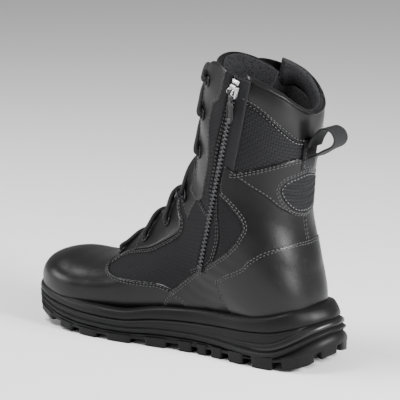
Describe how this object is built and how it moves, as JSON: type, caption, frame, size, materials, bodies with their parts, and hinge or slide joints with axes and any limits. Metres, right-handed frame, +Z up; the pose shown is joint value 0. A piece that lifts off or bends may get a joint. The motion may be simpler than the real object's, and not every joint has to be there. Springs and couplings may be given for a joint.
{
  "type": "fire boot",
  "caption": "Black leather and nylon side-zip fire boot with a safety toe, lugged rubber sole, padded collar, laced front and heel pull loop.",
  "frame": {"origin": "the middle of the boot's bounding box, on the ground under the lugs", "axes": "+X from toe to heel, +Y to the lateral side (the zip is at -Y), +Z up"},
  "size_m": [0.3186, 0.1143, 0.2705],
  "materials": {
    "sole_rubber": "matt moulded",
    "clip_plastic": "satin",
    "shank_steel": "brushed",
    "stiffener_board": "matt",
    "lining_fabric": "knitted",
    "black_leather": "smooth semi-gloss",
    "collar_leather": "soft satin",
    "ballistic_nylon": "woven",
    "webbing": "woven",
    "lace_cord": "braided",
    "black_plastic": "moulded",
    "dark_metal": "black oxide",
    "bright_metal": "bright"
  },
  "bodies": {
    "boot": {"outsole": "sole_rubber", "midsole": "sole_rubber", "rand": "sole_rubber", "heel_clip": "clip_plastic", "shank": "shank_steel", "lasting_board": "stiffener_board", "footbed": "lining_fabric", "toe_cap": "stiffener_board", "heel_stiffener": "stiffener_board", "lining_toe": "lining_fabric", "lining_waist": "lining_fabric", "lining_heel": "lining_fabric", "lining_shaft": "lining_fabric", "vamp": "black_leather", "quarter_medial": "ballistic_nylon", "quarter_lateral": "ballistic_nylon", "lower_eyestay_medial": "black_leather", "lower_eyestay_lateral": "black_leather", "saddle_medial": "black_leather", "saddle_lateral": "black_leather", "shaft_panel_medial": "ballistic_nylon", "shaft_panel_lateral": "ballistic_nylon", "upper_eyestay_medial": "black_leather", "upper_eyestay_lateral": "black_leather", "ankle_strap_medial": "black_leather", "ankle_strap_lateral": "black_leather", "achilles_panel": "ballistic_nylon", "heel_counter": "black_leather", "collar": "collar_leather", "tongue": "ballistic_nylon", "zip_facing": "ballistic_nylon", "lateral_facing": "ballistic_nylon", "zip_gusset": "ballistic_nylon", "zip_tape": "webbing", "zip_chain": "dark_metal", "zip_top_stop": "bright_metal", "zip_bottom_stop": "bright_metal", "lower_eyelets": "dark_metal", "upper_eyelets": "dark_metal", "speed_loops": "dark_metal", "lace": "lace_cord", "lace_tips": "black_plastic", "loop_patch": "webbing"},
    "zip_slider": {"zip_slider": "bright_metal"},
    "zip_puller": {"zip_puller": "black_plastic"},
    "pull_loop": {"pull_loop": "webbing"}
  },
  "joints": [
    {"name": "zip_slide", "type": "slide", "parent": "boot", "child": "zip_slider", "axis": [-0.2413, 0.0306, -0.97], "range_m": [0, 0.156]},
    {"name": "puller_swing", "type": "hinge", "parent": "zip_slider", "child": "zip_puller", "pos_m": [0.08241, -0.05488, 0.24064], "axis": [-0.9335, 0.2659, 0.2406], "range_deg": [0, 150]},
    {"name": "loop_tilt", "type": "hinge", "parent": "boot", "child": "pull_loop", "pos_m": [0.12251, 0.00049, 0.18752], "axis": [0, -1, 0], "range_deg": [-15, 15], "stiffness_Nm_per_rad": 0.06}
  ]
}
